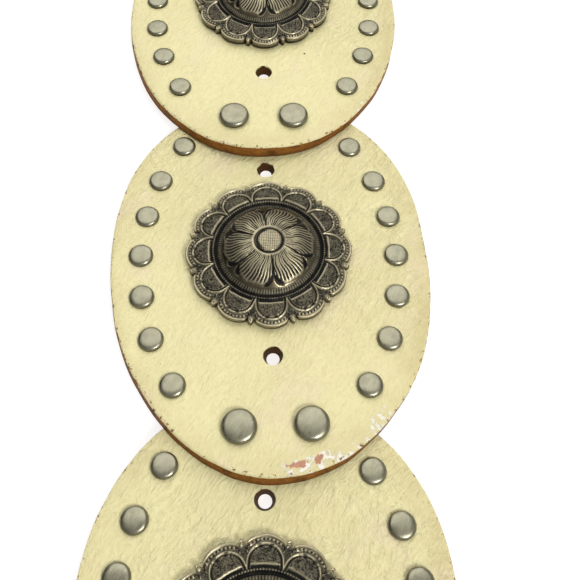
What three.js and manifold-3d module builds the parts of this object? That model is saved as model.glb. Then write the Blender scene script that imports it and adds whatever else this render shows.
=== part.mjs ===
// A concho belt laid out flat: nine leather ovals, each riveted at its lower end onto the next,
// and each with a round domed concho, a row of small studs down either side and two lace holes.
// Millimetres. X runs across the belt, Y along it towards its upper end, Z up.
// The origin is on the surface that the belt lies on, under the middle of the belt.
import * as THREE from "three";
import { mergeVertices } from "three/addons/utils/BufferGeometryUtils.js";
import Module from "manifold-3d";

const wasm = await Module();
wasm.setup();

// Belt
const OVAL_COUNT = 9;
const OVAL_WIDTH = 89;
const OVAL_LENGTH = 118;
const UPPER_FULLNESS = 2.6; // power of the outline's upper half, whose shoulders are full
const LOWER_FULLNESS = 1.95; // of its lower half; 2 would be an ellipse's
const OVERLAP = 22; // of each oval onto the next
const LEATHER_THICKNESS = 3.2;
const OVAL_STRIPS = 14; // that an oval is lofted through
const FIT_GAP = 0.3; // between any two pieces that touch
const FASTENER_BACK_HEIGHT = 0.8; // of the flat heads under the leather
const LIP_CURL = 1.4; // how far the tip of a free lower lip has lifted

// Lace holes, above and below the concho
const LACE_HOLE_RADIUS = 2.4;
const LACE_HOLE_REACH = 30; // from the concho's centre
const LACE_HOLE_SIDES = 8;

// Studs
const STUD_RADIUS = 3.5;
const STUD_RIM_HEIGHT = 0.9;
const STUD_CROWN_HEIGHT = 0.5; // above the rim
const STUD_ROOT = 0.6; // sunk into the leather
const STUD_SIDE_DISTANCE = 8.5; // from the oval's side edge to the curve that its studs follow
const STUD_END_DISTANCE = 5.2; // from the oval's ends to that curve
const STUD_END_STEP = 1.4; // by which the two end studs of a row stand further on than the even step
const STUDS_PER_SIDE = 7;
const STUD_SIDES = 7;

// Rivets that join one oval to the next
const RIVET_CAP_RADIUS = 4.6;
const RIVET_RIM_HEIGHT = 1.0;
const RIVET_CROWN_HEIGHT = 0.6;
const RIVET_SHANK_RADIUS = 1.5;
const RIVET_BACK_RADIUS = 4.0;
const RIVET_SPACING = 18.2;
const RIVET_END_DISTANCE = 12.9; // from the oval's lower end
const RIVET_SIDES = 7;

// Concho
const CONCHO_RADIUS = 23.3;
const CONCHO_Y = 2.4; // above the middle of the oval, with the studs and lace holes about it
const SCALLOP_COUNT = 12;
const SCALLOP_DEPTH = 1.5;
const SCALLOP_POINTS = 3; // of the edge: one in each valley and two across each crest
const CONCHO_RIM_THICKNESS = 2.1;
const COLLAR_RADIUS = 15.8; // crest of the raised collar round the dome
const COLLAR_HEIGHT = 2.7;
const COLLAR_GROOVE_HEIGHT = 1.9; // of the groove between the collar and the dome
const DOME_RADIUS = 14.2;
const DOME_HEIGHT = 8.2; // above the concho's back
const DOME_RINGS = 3;

// Post that holds the concho from behind
const POST_RADIUS = 2.2;
const POST_HEAD_RADIUS = 6;
const POST_SIDES = 6;

// Button on the first oval's upper end, and the hole for it in the last oval's lower end
const BUTTON_NECK_RADIUS = 1.9;
const BUTTON_NECK_HEIGHT = 3.6; // above the leather, room for the last oval
const BUTTON_HEAD_RADIUS = 3.1;
const BUTTON_HEAD_HEIGHT = 4.4;
const BUTTON_HEAD_SECTIONS = [ // shares of the head's radius and height, from the neck up
  { radius: 1, height: 0.3 },
  { radius: 1, height: 0.7 },
  { radius: 0, height: 1 },
];
const BUTTON_BASE_RADIUS = 4.2;
const BUTTON_SIDES = 8;
const BUTTON_HOLE_PLAY = 0.5; // round the neck
const BUTTON_SLIT_WIDTH = 1.2;
const BUTTON_SLIT_LENGTH = 7; // from the middle of the hole, away from the oval's end

// How each oval lies and how its pieces were set by hand, the belt's upper end first: its shift to
// the side and its turn in degrees, how far its left and right rows of studs have crept up, how far
// its concho sits up and to the right of its usual place, and the concho's turn in degrees. Shifts
// and creeps are shares of the plays.
const SIDE_PLAY = 1.2;
const ROW_PLAY = 3;
const CONCHO_PLAY = 2.4;
const LIE = [
  { shift: 0.5, turn: -0.6, leftRow: 0.1, rightRow: -0.1, conchoUp: 0.1, conchoRight: 0.1, conchoTurn: 1 },
  { shift: 0.3, turn: 0.5, leftRow: -0.2, rightRow: 0.1, conchoUp: -0.2, conchoRight: 0, conchoTurn: -1.5 },
  { shift: -0.4, turn: -0.8, leftRow: 0.1, rightRow: 0, conchoUp: 0.1, conchoRight: -0.1, conchoTurn: 0.5 },
  { shift: -0.7, turn: 0.1, leftRow: 0.6, rightRow: 0.7, conchoUp: 1, conchoRight: 0, conchoTurn: 1.8 },
  { shift: 0.6, turn: 1.7, leftRow: 0.4, rightRow: -0.4, conchoUp: 0.1, conchoRight: 0, conchoTurn: 0.2 },
  { shift: 0.2, turn: 1.6, leftRow: 0.4, rightRow: -1, conchoUp: -0.6, conchoRight: -0.6, conchoTurn: -3.8 },
  { shift: 0.25, turn: 0.8, leftRow: -0.1, rightRow: 0.1, conchoUp: 0.2, conchoRight: 0.1, conchoTurn: 1.2 },
  { shift: -0.3, turn: -0.7, leftRow: 0.1, rightRow: 0.1, conchoUp: -0.1, conchoRight: 0, conchoTurn: -0.6 },
  { shift: 0.4, turn: 0.5, leftRow: 0, rightRow: -0.1, conchoUp: 0.1, conchoRight: 0, conchoTurn: 0.9 },
];

// Heights that follow from the sizes above
const BACK_CLEARANCE = FASTENER_BACK_HEIGHT + FIT_GAP; // the fasteners hold the leather this high
const STEP_UP = LEATHER_THICKNESS + FIT_GAP; // from one oval to the one that lies on it
const OVAL_PITCH = OVAL_LENGTH - OVERLAP; // from one oval's middle to the next one's
const FREE_REACH = OVAL_LENGTH / 2 - OVERLAP; // of the stretch that no neighbour covers, either way
const SLOPE = STEP_UP / OVAL_PITCH; // at which each oval lies on the next, like a shingle
const RIVET_Y = RIVET_END_DISTANCE - OVAL_LENGTH / 2;
const LIP_Y = RIVET_Y - RIVET_CAP_RADIUS; // below it the free lower lip curls up
const BUTTON_Y = RIVET_Y + OVAL_PITCH; // where an oval before the first would be riveted
const CUTTER_REACH = BACK_CLEARANCE + 2 * STEP_UP + LEATHER_THICKNESS; // past any leather with a hole

const leather = new THREE.MeshStandardMaterial({ color: 0xeee3b6, roughness: 0.55, metalness: 0 });
const nickel = new THREE.MeshStandardMaterial({ color: 0xa9a595, roughness: 0.35, metalness: 1 });
const antiqueSilver = new THREE.MeshStandardMaterial({ color: 0x77736a, roughness: 0.4, metalness: 1 });

// A closed geometry as a solid that can be joined and cut.
function solidFrom(geometry) {
  const bare = geometry.clone();
  bare.deleteAttribute("normal");
  bare.deleteAttribute("uv");
  const merged = mergeVertices(bare, 1e-4);
  return new wasm.Manifold(
    new wasm.Mesh({
      numProp: 3,
      vertProperties: new Float32Array(merged.attributes.position.array),
      triVerts: new Uint32Array(merged.index.array),
    }),
  );
}

function geometryFrom(solid) {
  const mesh = solid.getMesh();
  const geometry = new THREE.BufferGeometry();
  geometry.setAttribute("position", new THREE.BufferAttribute(mesh.vertProperties, 3));
  geometry.setIndex(new THREE.BufferAttribute(mesh.triVerts, 1));
  geometry.computeVertexNormals();
  return geometry;
}

// A turned piece: rows of radius and height from the bottom of its axis to the top, spun about Z.
function turned(profile, sides) {
  const points = profile.map(({ radius, height }) => new THREE.Vector2(radius, height));
  return new THREE.LatheGeometry(points, sides).rotateX(Math.PI / 2);
}

// Height of an oval's back at a place along it. Its upper end lies low, under the oval before it,
// and it climbs evenly onto the next one. The last oval has nothing to climb and lies flat.
function backHeight(y, climbs) {
  const climb = climbs ? SLOPE * (OVAL_LENGTH / 2 - y) : 0;
  const lip = Math.max(0, (LIP_Y - y) / (LIP_Y + OVAL_LENGTH / 2));
  return BACK_CLEARANCE + climb + LIP_CURL * lip * lip;
}

// Half of an oval's width at a place along it.
function halfWidth(y) {
  const share = Math.abs(y) / (OVAL_LENGTH / 2);
  const fullness = y > 0 ? UPPER_FULLNESS : LOWER_FULLNESS;
  return (OVAL_WIDTH / 2) * Math.sqrt(Math.max(0, 1 - share ** fullness));
}

// One oval without its holes: lofted through rectangular cross sections that narrow to nothing at
// either tip.
function ovalBlank(climbs) {
  const positions = [];
  for (let i = 0; i <= OVAL_STRIPS; i++) {
    const y = (-OVAL_LENGTH / 2) * Math.cos((Math.PI * i) / OVAL_STRIPS);
    const w = halfWidth(y);
    const back = backHeight(y, climbs);
    const face = back + LEATHER_THICKNESS;
    positions.push(-w, y, back, w, y, back, w, y, face, -w, y, face);
  }
  const cornerCount = 4;
  const triangles = [];
  for (let j = 0; j < OVAL_STRIPS; j++) {
    for (let k = 0; k < cornerCount; k++) {
      const a = j * cornerCount + k;
      const b = j * cornerCount + ((k + 1) % cornerCount);
      triangles.push(b, a, a + cornerCount, b, a + cornerCount, b + cornerCount);
    }
  }
  const geometry = new THREE.BufferGeometry();
  geometry.setAttribute("position", new THREE.Float32BufferAttribute(positions, 3));
  geometry.setIndex(triangles);
  return solidFrom(geometry);
}

// A straight round cutter through the leather, at a place in plan.
function throughHole(x, y, radius, sides) {
  const profile = [
    { radius: 0, height: -CUTTER_REACH },
    { radius, height: -CUTTER_REACH },
    { radius, height: CUTTER_REACH },
    { radius: 0, height: CUTTER_REACH },
  ];
  return solidFrom(turned(profile, sides).translate(x, y, 0));
}

// The cutter of the last oval's button hole: round, with a slit for the button's head to pass.
function buttonHole() {
  const slit = new THREE.BoxGeometry(BUTTON_SLIT_WIDTH, BUTTON_SLIT_LENGTH, 2 * CUTTER_REACH);
  slit.translate(0, RIVET_Y + BUTTON_SLIT_LENGTH / 2, 0);
  const hole = throughHole(0, RIVET_Y, BUTTON_NECK_RADIUS + BUTTON_HOLE_PLAY, BUTTON_SIDES);
  return hole.add(solidFrom(slit));
}

// Places of one oval's studs: a row along a curve inside either edge, as far as the face is free of
// its neighbours. The studs are evenly stepped but for the two end ones, and each row has crept up
// the curve by its own distance.
function studPlaces({ leftRow, rightRow }) {
  const across = OVAL_WIDTH / 2 - STUD_SIDE_DISTANCE;
  const along = OVAL_LENGTH / 2 - STUD_END_DISTANCE;
  const reach = Math.asin(FREE_REACH / along);
  const row = new THREE.EllipseCurve(0, CONCHO_Y, across, along, -reach, reach);
  const side = new THREE.EllipseCurve(0, CONCHO_Y, across, along, -Math.PI / 2, Math.PI / 2);
  const placeAlong = (distance) => side.getPointAt(0.5 + distance / side.getLength());
  const places = [];
  for (let i = 0; i < STUDS_PER_SIDE; i++) {
    let distance = row.getLength() * (i / (STUDS_PER_SIDE - 1) - 0.5);
    if (i === 0 || i === STUDS_PER_SIDE - 1) {
      distance += Math.sign(distance) * STUD_END_STEP;
    }
    const right = placeAlong(distance + rightRow * ROW_PLAY);
    const left = placeAlong(distance + leftRow * ROW_PLAY);
    places.push({ x: right.x, y: right.y }, { x: -left.x, y: left.y });
  }
  return places;
}

// Place on an oval of the middle of its concho.
function conchoPlace({ conchoUp, conchoRight }) {
  return { x: conchoRight * CONCHO_PLAY, y: CONCHO_Y + conchoUp * CONCHO_PLAY };
}

function studSolid(x, y, climbs) {
  const face = backHeight(y, climbs) + LEATHER_THICKNESS;
  const profile = [
    { radius: 0, height: -STUD_ROOT },
    { radius: STUD_RADIUS, height: -STUD_ROOT },
    { radius: STUD_RADIUS, height: STUD_RIM_HEIGHT },
    { radius: 0, height: STUD_RIM_HEIGHT + STUD_CROWN_HEIGHT },
  ];
  return solidFrom(turned(profile, STUD_SIDES).translate(x, y, face));
}

// The two rivets that join an oval to the next, in its own frame.
const rivetPlaces = [
  { side: "left", x: -RIVET_SPACING / 2, y: RIVET_Y },
  { side: "right", x: RIVET_SPACING / 2, y: RIVET_Y },
];

// The last oval is riveted to nothing.
function joinsNext(index) {
  return index < OVAL_COUNT - 1;
}

function lieOf(index) {
  return LIE[index % LIE.length];
}

// Where an oval lies: its middle along the belt, its sideways shift and its turn.
function ovalMatrix(index) {
  const lie = lieOf(index);
  const y = ((OVAL_COUNT - 1) / 2 - index) * OVAL_PITCH;
  return new THREE.Matrix4()
    .makeTranslation(lie.shift * SIDE_PLAY, y, 0)
    .multiply(new THREE.Matrix4().makeRotationZ(THREE.MathUtils.degToRad(lie.turn)));
}

// The places of the rivets that come through from the oval before, in this oval's frame.
function rivetPlacesFromBefore(index) {
  const intoOwn = ovalMatrix(index).invert().multiply(ovalMatrix(index - 1));
  return rivetPlaces.map(({ x, y }) => new THREE.Vector3(x, y, 0).applyMatrix4(intoOwn));
}

// An oval with its studs, and with the holes for laces, post, rivets and button.
function ovalGeometry(index) {
  const climbs = joinsNext(index);
  const lie = lieOf(index);
  const concho = conchoPlace(lie);
  const shankHoles = [];
  if (index > 0) {
    shankHoles.push(...rivetPlacesFromBefore(index));
  }
  if (climbs) {
    shankHoles.push(...rivetPlaces);
  }
  const cutters = [
    throughHole(0, CONCHO_Y + LACE_HOLE_REACH, LACE_HOLE_RADIUS, LACE_HOLE_SIDES),
    throughHole(0, CONCHO_Y - LACE_HOLE_REACH, LACE_HOLE_RADIUS, LACE_HOLE_SIDES),
    throughHole(concho.x, concho.y, POST_RADIUS + FIT_GAP, POST_SIDES),
    ...shankHoles.map(({ x, y }) => throughHole(x, y, RIVET_SHANK_RADIUS + FIT_GAP, RIVET_SIDES)),
  ];
  if (index === 0) {
    cutters.push(throughHole(0, BUTTON_Y, BUTTON_NECK_RADIUS + FIT_GAP, BUTTON_SIDES));
  }
  if (!climbs) {
    cutters.push(buttonHole());
  }
  let solid = ovalBlank(climbs);
  for (const { x, y } of studPlaces(lie)) {
    solid = solid.add(studSolid(x, y, climbs));
  }
  for (const cutter of cutters) {
    solid = solid.subtract(cutter);
  }
  return geometryFrom(solid);
}

// A rivet: its back stands on the surface that the belt lies on, and its cap sits on the upper
// leather. Both keep the fit gap to the leather.
function rivetGeometry() {
  const capSeat = backHeight(LIP_Y, true) + LEATHER_THICKNESS + FIT_GAP;
  const profile = [
    { radius: 0, height: 0 },
    { radius: RIVET_BACK_RADIUS, height: 0 },
    { radius: RIVET_BACK_RADIUS, height: FASTENER_BACK_HEIGHT },
    { radius: RIVET_SHANK_RADIUS, height: FASTENER_BACK_HEIGHT },
    { radius: RIVET_SHANK_RADIUS, height: capSeat },
    { radius: RIVET_CAP_RADIUS, height: capSeat },
    { radius: RIVET_CAP_RADIUS, height: capSeat + RIVET_RIM_HEIGHT },
    { radius: 0, height: capSeat + RIVET_RIM_HEIGHT + RIVET_CROWN_HEIGHT },
  ];
  return turned(profile, RIVET_SIDES);
}

// Radius of the concho's scalloped edge at an angle, with round crests and narrow valleys.
function scallopRadius(angle) {
  const phase = (angle * SCALLOP_COUNT) / 2;
  return CONCHO_RADIUS - SCALLOP_DEPTH * Math.pow(Math.abs(Math.sin(phase)), 3);
}

// The dome's rings, from its foot up: a cap of a sphere between the groove and the apex.
function domeRings(sides) {
  const rise = DOME_HEIGHT - COLLAR_GROOVE_HEIGHT;
  const sphereRadius = (DOME_RADIUS * DOME_RADIUS + rise * rise) / (2 * rise);
  const footAngle = Math.asin(DOME_RADIUS / sphereRadius);
  const rings = [];
  for (let ring = DOME_RINGS; ring > 0; ring--) {
    const angle = (footAngle * ring) / DOME_RINGS;
    const radius = sphereRadius * Math.sin(angle);
    const height = DOME_HEIGHT - sphereRadius * (1 - Math.cos(angle));
    rings.push({ radius, height, sides: ring > 1 ? sides : sides / 2 });
  }
  return rings;
}

// The concho: a scalloped plate, a collar, a groove and the dome. Its rings run from the back's
// edge over the top, and each has as many points as the one outside it, or half as many.
function conchoGeometry() {
  const edgeSides = SCALLOP_COUNT * SCALLOP_POINTS;
  const innerSides = edgeSides / 2;
  const positions = [];
  const addRing = (sides, height, radiusAt) => {
    const ring = [];
    for (let i = 0; i < sides; i++) {
      const angle = Math.PI / SCALLOP_COUNT + (2 * Math.PI * i) / sides;
      ring.push(positions.length / 3);
      positions.push(Math.sin(angle) * radiusAt(angle), Math.cos(angle) * radiusAt(angle), height);
    }
    return ring;
  };
  const addCentre = (height) => {
    positions.push(0, 0, height);
    return positions.length / 3 - 1;
  };
  const rings = [
    addRing(edgeSides, 0, scallopRadius),
    addRing(edgeSides, CONCHO_RIM_THICKNESS, scallopRadius),
    addRing(innerSides, COLLAR_HEIGHT, () => COLLAR_RADIUS),
  ];
  for (const { radius, height, sides } of domeRings(innerSides)) {
    rings.push(addRing(sides, height, () => radius));
  }
  const triangles = [];
  for (let r = 0; r + 1 < rings.length; r++) {
    const outer = rings[r];
    const inner = rings[r + 1];
    const step = outer.length / inner.length;
    for (let i = 0; i < outer.length; i++) {
      const next = (i + 1) % outer.length;
      const near = inner[Math.floor(i / step)];
      const far = inner[Math.floor((i + 1) / step) % inner.length];
      triangles.push(outer[next], outer[i], near);
      if (near !== far) {
        triangles.push(outer[next], near, far);
      }
    }
  }
  const back = addCentre(0);
  const apex = addCentre(DOME_HEIGHT);
  const backRing = rings[0];
  const topRing = rings[rings.length - 1];
  backRing.forEach((point, i) => triangles.push(point, backRing[(i + 1) % backRing.length], back));
  topRing.forEach((point, i) => triangles.push(topRing[(i + 1) % topRing.length], point, apex));
  const geometry = new THREE.BufferGeometry();
  geometry.setAttribute("position", new THREE.Float32BufferAttribute(positions, 3));
  geometry.setIndex(triangles);
  geometry.computeVertexNormals();
  return geometry;
}

// The plain post behind a concho: a flat head under the leather and a shank up to the concho's back.
function postGeometry() {
  const shankTop = FASTENER_BACK_HEIGHT + FIT_GAP + LEATHER_THICKNESS;
  const profile = [
    { radius: 0, height: 0 },
    { radius: POST_HEAD_RADIUS, height: 0 },
    { radius: POST_HEAD_RADIUS, height: FASTENER_BACK_HEIGHT },
    { radius: POST_RADIUS, height: FASTENER_BACK_HEIGHT },
    { radius: POST_RADIUS, height: shankTop },
    { radius: 0, height: shankTop },
  ];
  return turned(profile, POST_SIDES);
}

// The closing button: a flat base under the leather, a neck and a rounded head.
function buttonGeometry() {
  const neckTop = FASTENER_BACK_HEIGHT + FIT_GAP + LEATHER_THICKNESS + BUTTON_NECK_HEIGHT;
  const profile = [
    { radius: 0, height: 0 },
    { radius: BUTTON_BASE_RADIUS, height: 0 },
    { radius: BUTTON_BASE_RADIUS, height: FASTENER_BACK_HEIGHT },
    { radius: BUTTON_NECK_RADIUS, height: FASTENER_BACK_HEIGHT },
    { radius: BUTTON_NECK_RADIUS, height: neckTop },
    ...BUTTON_HEAD_SECTIONS.map(({ radius, height }) => ({
      radius: radius * BUTTON_HEAD_RADIUS,
      height: neckTop + height * BUTTON_HEAD_HEIGHT,
    })),
  ];
  return turned(profile, BUTTON_SIDES);
}

function namedMesh(name, geometry, material) {
  const mesh = new THREE.Mesh(geometry, material);
  mesh.name = name;
  return mesh;
}

// Sets a piece at the concho's place, at a height above the leather's back and tilted with it.
function setOnSlope(mesh, index, height) {
  const lie = lieOf(index);
  const climbs = joinsNext(index);
  const tilt = climbs ? -Math.atan(SLOPE) : 0;
  const { x, y } = conchoPlace(lie);
  mesh.position.set(x, y, backHeight(y, climbs));
  mesh.rotation.set(tilt, 0, THREE.MathUtils.degToRad(lie.conchoTurn));
  return mesh.translateZ(height);
}

// One oval with all that it carries, in the oval's own frame.
function unitGroup(index) {
  const number = index + 1;
  const climbs = joinsNext(index);
  const unit = new THREE.Group();
  const concho = namedMesh(`concho_${number}`, conchoGeometry(), antiqueSilver);
  const post = namedMesh(`concho_post_${number}`, postGeometry(), nickel);
  unit.add(namedMesh(`oval_${number}`, ovalGeometry(index), leather));
  unit.add(setOnSlope(concho, index, LEATHER_THICKNESS + FIT_GAP));
  unit.add(setOnSlope(post, index, -BACK_CLEARANCE));
  if (climbs) {
    for (const { side, x, y } of rivetPlaces) {
      const rivet = namedMesh(`rivet_${number}_${side}`, rivetGeometry(), nickel);
      rivet.position.set(x, y, 0);
      unit.add(rivet);
    }
  }
  if (index === 0) {
    const button = namedMesh("closing_button", buttonGeometry(), nickel);
    button.position.y = BUTTON_Y;
    unit.add(button);
  }
  return unit;
}

const belt = new THREE.Group();
for (let index = 0; index < OVAL_COUNT; index++) {
  const unit = unitGroup(index);
  unit.applyMatrix4(ovalMatrix(index));
  belt.add(unit);
}

// The origin goes under the middle of the belt.
const middle = new THREE.Box3().setFromObject(belt, true).getCenter(new THREE.Vector3());
belt.position.set(-middle.x, -middle.y, 0);

export default belt;
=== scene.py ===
"""A concho belt laid flat, dressed round its CAD frame.

Each leather oval, concho, stud, rivet, post and the closing button is modelled once in its own
flat frame, in metres, with its face up, and is then copied to the places that the frame gives.
"""

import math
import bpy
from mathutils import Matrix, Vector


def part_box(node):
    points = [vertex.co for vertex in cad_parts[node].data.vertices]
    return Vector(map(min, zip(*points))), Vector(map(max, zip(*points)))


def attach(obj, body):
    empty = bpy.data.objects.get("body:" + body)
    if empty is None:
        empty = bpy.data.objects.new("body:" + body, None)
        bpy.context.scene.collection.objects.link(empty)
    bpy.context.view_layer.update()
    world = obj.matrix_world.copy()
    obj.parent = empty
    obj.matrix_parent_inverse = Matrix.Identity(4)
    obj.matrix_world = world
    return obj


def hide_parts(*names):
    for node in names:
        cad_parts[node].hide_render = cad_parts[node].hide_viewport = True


bl_info = {
    "name": "Concho Belt",
    "version": (1, 0, 0),
    "blender": (4, 5, 0),
    "location": "View3D > Sidebar > Belt",
    "description": "Dresses the frame of a riveted leather concho belt",
    "category": "Add Mesh",
}

import bpy
import numpy as np
from bpy.props import FloatProperty, FloatVectorProperty, IntProperty, PointerProperty
from mathutils import Matrix, Vector, noise

MM = 0.001

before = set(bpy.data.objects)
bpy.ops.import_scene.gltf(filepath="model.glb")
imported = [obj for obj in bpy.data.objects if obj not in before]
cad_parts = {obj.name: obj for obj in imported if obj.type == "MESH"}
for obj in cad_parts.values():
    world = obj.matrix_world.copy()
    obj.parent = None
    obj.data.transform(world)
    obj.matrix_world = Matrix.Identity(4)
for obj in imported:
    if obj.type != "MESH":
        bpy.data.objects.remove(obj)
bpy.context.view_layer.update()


# Places from the frame


def node_points(name):
    """The vertices of a CAD node in the row frame."""
    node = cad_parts[name]
    return [node.matrix_world @ vertex.co for vertex in node.data.vertices]


def count_of(prefix):
    """How many CAD nodes have a name of this prefix and a number."""
    return sum(name.startswith(prefix) and name[len(prefix):].isdigit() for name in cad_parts)


def face_plane(name):
    """A point and the normal of a CAD node's largest face that looks up."""
    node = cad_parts[name]
    upward = [face for face in node.data.polygons if face.normal.z > 0.9]
    face = max(upward, key=lambda polygon: polygon.area)
    return node.matrix_world @ node.data.vertices[face.vertices[0]].co, face.normal.copy()


def oval_tips(name):
    """An oval's upper and lower tip, each on its face."""
    points = node_points(name)
    upper = max(points, key=lambda p: (round(p.y, 6), p.z))
    lower = min(points, key=lambda p: (round(p.y, 6), -p.z))
    return upper, lower


def oval_placing(number):
    """Matrix from an oval's own frame, on its face with +Y to its upper tip, to the row frame."""
    name = f"oval_{number}"
    upper, lower = oval_tips(name)
    on_face, normal = face_plane(name)
    along = Vector((upper.x - lower.x, upper.y - lower.y, 0))
    along.z = -(normal.x * along.x + normal.y * along.y) / normal.z
    along.normalize()
    across = along.cross(normal)
    centre = (upper + lower) / 2
    centre.z = on_face.z
    centre.z -= ((centre.x - on_face.x) * normal.x + (centre.y - on_face.y) * normal.y) / normal.z
    placing = Matrix((across, along, normal)).transposed().to_4x4()
    placing.translation = centre
    return placing


OVAL_COUNT = count_of("oval_")
PLACINGS = {number: oval_placing(number) for number in range(1, OVAL_COUNT + 1)}
FIRST_TIPS = oval_tips("oval_1")
OVAL_HALF_LENGTH = (FIRST_TIPS[0].xy - FIRST_TIPS[1].xy).length / 2
OVAL_HALF_WIDTH = (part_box("oval_1")[1][0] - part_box("oval_1")[0][0]) / 2
CONCHO_RADIUS = (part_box("concho_9")[1][0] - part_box("concho_9")[0][0]) / 2
CONCHO_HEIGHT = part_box("concho_9")[1][2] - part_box("concho_9")[0][2]
MIDDLE_OVAL = (OVAL_COUNT + 1) // 2


def leather_thickness():
    """Height between the face and the back at an oval's upper tip."""
    upper, _lower = oval_tips("oval_1")
    column = [p.z for p in node_points("oval_1") if (p.xy - upper.xy).length < 0.01 * MM]
    return max(column) - min(column)


THICKNESS = leather_thickness()


def stud_places(number):
    """Places of an oval's small studs in its own frame, read from their crowns in the CAD node."""
    into_own = PLACINGS[number].inverted()
    crown_low, crown_high = 1.25 * MM, 1.6 * MM
    lip = 0.85 * OVAL_HALF_LENGTH
    found = {}
    for point in node_points(f"oval_{number}"):
        own = into_own @ point
        if crown_low < own.z < crown_high and abs(own.y) < lip:
            found[(round(own.x / MM), round(own.y / MM))] = own.xy
    return list(found.values())


def fastener_places(number):
    """Where the rivets of an oval stand, in the row frame at the level of their backs."""
    places = []
    for side in ("left", "right"):
        name = f"rivet_{number}_{side}"
        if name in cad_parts:
            low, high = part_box(name)
            places.append((side, Vector(((low[0] + high[0]) / 2, (low[1] + high[1]) / 2, low[2]))))
    return places


def concho_placing(number):
    """Matrix from a concho's own frame, on its back with a crest at +Y, to the row frame."""
    points = node_points(f"concho_{number}")
    normal = PLACINGS[number].col[2].to_3d()
    tilt = Matrix((PLACINGS[number].col[0].to_3d(), PLACINGS[number].col[1].to_3d(), normal))
    own = [tilt @ point for point in points]
    back = min(p.z for p in own)
    rim = [p for p in own if p.z - back < 0.05 * MM]
    centre = Vector((0, 0, back))
    centre.x = (min(p.x for p in rim) + max(p.x for p in rim)) / 2
    centre.y = (min(p.y for p in rim) + max(p.y for p in rim)) / 2
    edge = [p for p in rim if (p.xy - centre.xy).length > 0.5 * CONCHO_RADIUS]
    valley = min(edge, key=lambda p: (p.xy - centre.xy).length)
    scallop = 2 * math.pi / SCALLOP_COUNT
    bearing = math.atan2(valley.y - centre.y, valley.x - centre.x) - math.pi / 2 - scallop / 2
    turn = (bearing + scallop / 2) % scallop - scallop / 2
    own_turn = Matrix.Rotation(turn, 4, "Z")
    placing = tilt.transposed().to_4x4() @ Matrix.Translation(centre) @ own_turn
    return placing


# Sizes and colours


class BeltLeatherSettings(bpy.types.PropertyGroup):
    """Shape and finish of the leather ovals."""

    steps: IntProperty(name="Steps", description="Faces round an oval's edge", default=128)
    rings: IntProperty(name="Rings", description="Rings of faces from the middle to the edge", default=27)
    hole_radius: FloatProperty(
        name="Lace Hole Radius", description="Radius of a lace hole", default=2.7 * MM, unit="LENGTH")
    hole_back_radius: FloatProperty(
        name="Lace Hole Back Radius", description="Radius of a lace hole at the leather's back",
        default=1.75 * MM, unit="LENGTH")
    hole_reach: FloatProperty(
        name="Lace Hole Reach", description="From the concho's usual middle to a lace hole",
        default=30 * MM, unit="LENGTH")
    middle_y: FloatProperty(
        name="Pattern Middle", description="Height of the concho's usual middle above the oval's",
        default=2.4 * MM, unit="LENGTH")
    waviness: FloatProperty(
        name="Waviness", description="How far the face swells and dips", default=0.5 * MM, unit="LENGTH")
    edge_wobble: FloatProperty(
        name="Edge Wobble", description="How unevenly the edge was cut", default=0.35 * MM, unit="LENGTH")
    dimple: FloatProperty(
        name="Dimple", description="How deep a fastener draws the leather in", default=0.3 * MM, unit="LENGTH")
    face_colour: FloatVectorProperty(
        name="Face", description="Glaze of the face", subtype="COLOR", default=(0.85, 0.78, 0.425))
    # the yellowed glaze, also used as painted shade in the creases and in the grain's hollows
    shade_colour: FloatVectorProperty(
        name="Shade", description="Glaze where it has yellowed", subtype="COLOR", default=(0.66, 0.56, 0.27))
    blush_colour: FloatVectorProperty(
        name="Blush", description="Faint pink tint of the face", subtype="COLOR", default=(0.84, 0.68, 0.50))
    edge_colour: FloatVectorProperty(
        name="Cut Edge", description="Leather of the cut edge", subtype="COLOR", default=(0.20, 0.078, 0.012))


class BeltConchoSettings(bpy.types.PropertyGroup):
    """Shape and finish of the conchos."""

    dome_steps: IntProperty(name="Dome Steps", description="Faces round the dome", default=420)
    plate_steps: IntProperty(name="Plate Steps", description="Faces round the scalloped plate", default=624)
    relief: FloatProperty(
        name="Relief", description="Share of the full depth of the ornament", default=1.0, subtype="FACTOR")
    silver_colour: FloatVectorProperty(
        name="Silver", description="Rubbed plate", subtype="COLOR", default=(0.50, 0.44, 0.29))
    ground_colour: FloatVectorProperty(
        name="Ground", description="Polished ground round the flower", subtype="COLOR",
        default=(0.22, 0.185, 0.115))
    # also used as painted shade low on the concho's side wall
    patina_colour: FloatVectorProperty(
        name="Patina", description="Antiquing in the recesses", subtype="COLOR", default=(0.010, 0.010, 0.009))


class BeltStudSettings(bpy.types.PropertyGroup):
    """Shape and finish of the studs, rivets, posts and button."""

    stud_radius: FloatProperty(
        name="Stud Radius", description="Radius of a small stud", default=3.5 * MM, unit="LENGTH")
    rivet_radius: FloatProperty(
        name="Rivet Radius", description="Radius of a joining rivet's cap", default=4.6 * MM, unit="LENGTH")
    nickel_colour: FloatVectorProperty(
        name="Nickel", description="Satin nickel plate", subtype="COLOR", default=(0.33, 0.315, 0.225))


class BeltStageSettings(bpy.types.PropertyGroup):
    """Floor, light and camera."""

    lens: FloatProperty(name="Lens", description="Focal length in millimetres", default=41.19)
    floor_colour: FloatVectorProperty(
        name="Floor", description="Colour of the floor", subtype="COLOR", default=(0.34, 0.34, 0.34))
    floor_glow: FloatProperty(
        name="Floor Glow", description="How strongly the floor is lit from below", default=0.78)
    key_power: FloatProperty(name="Key Light", description="Power of the key light in watts", default=5.2)
    top_power: FloatProperty(name="Top Light", description="Power of the broad top light in watts", default=4.8)
    sky_low: FloatProperty(name="Dark Side", description="Strength of the sky's dark side", default=0.015)
    sky_high: FloatProperty(name="Bright Side", description="Strength of the sky's bright side", default=0.42)


# Modelling helpers


def deselect_all():
    if bpy.context.object and bpy.context.object.mode != "OBJECT":
        bpy.ops.object.mode_set(mode="OBJECT")
    bpy.ops.object.select_all(action="DESELECT")


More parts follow.
